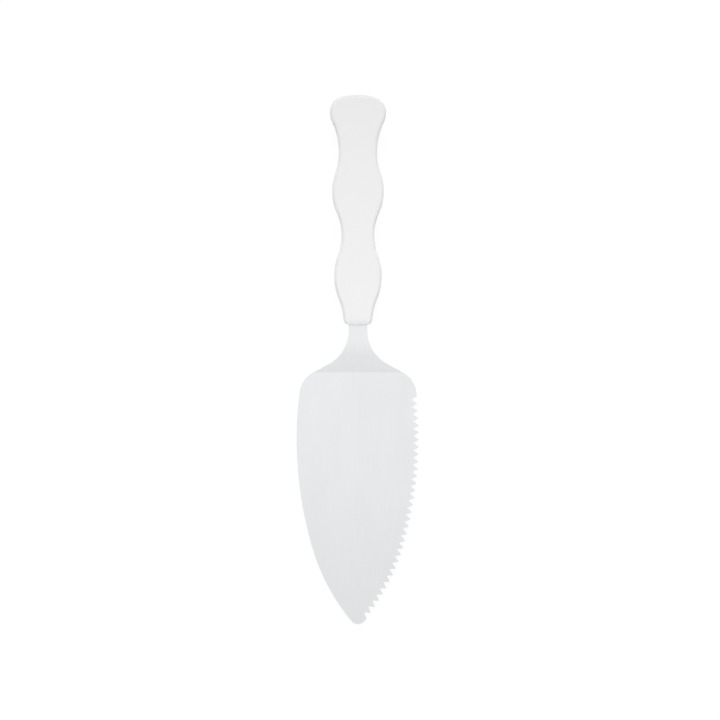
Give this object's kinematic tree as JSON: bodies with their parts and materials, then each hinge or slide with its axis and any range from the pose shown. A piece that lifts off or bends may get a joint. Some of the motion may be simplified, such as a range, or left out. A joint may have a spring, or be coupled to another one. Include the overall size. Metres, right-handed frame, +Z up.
{
  "type": "cake lifter",
  "caption": "Cake lifter: leaf-shaped steel blade toothed along one edge, cranked flared neck, and a waved white handle of two moulded shells clamped round the tang.",
  "frame": {"origin": "middle of the lifter's plan box, on the surface that the flat underside of the blade lies on", "axes": "+X across the blade towards the toothed edge, +Y along the lifter towards the end of the handle, +Z up from the surface"},
  "size_m": [0.0602, 0.26, 0.015],
  "materials": {
    "steel": "satin",
    "handle_plastic": "satin"
  },
  "bodies": {
    "root": {"blade": "steel", "upper_shell": "handle_plastic", "lower_shell": "handle_plastic"}
  },
  "joints": []
}
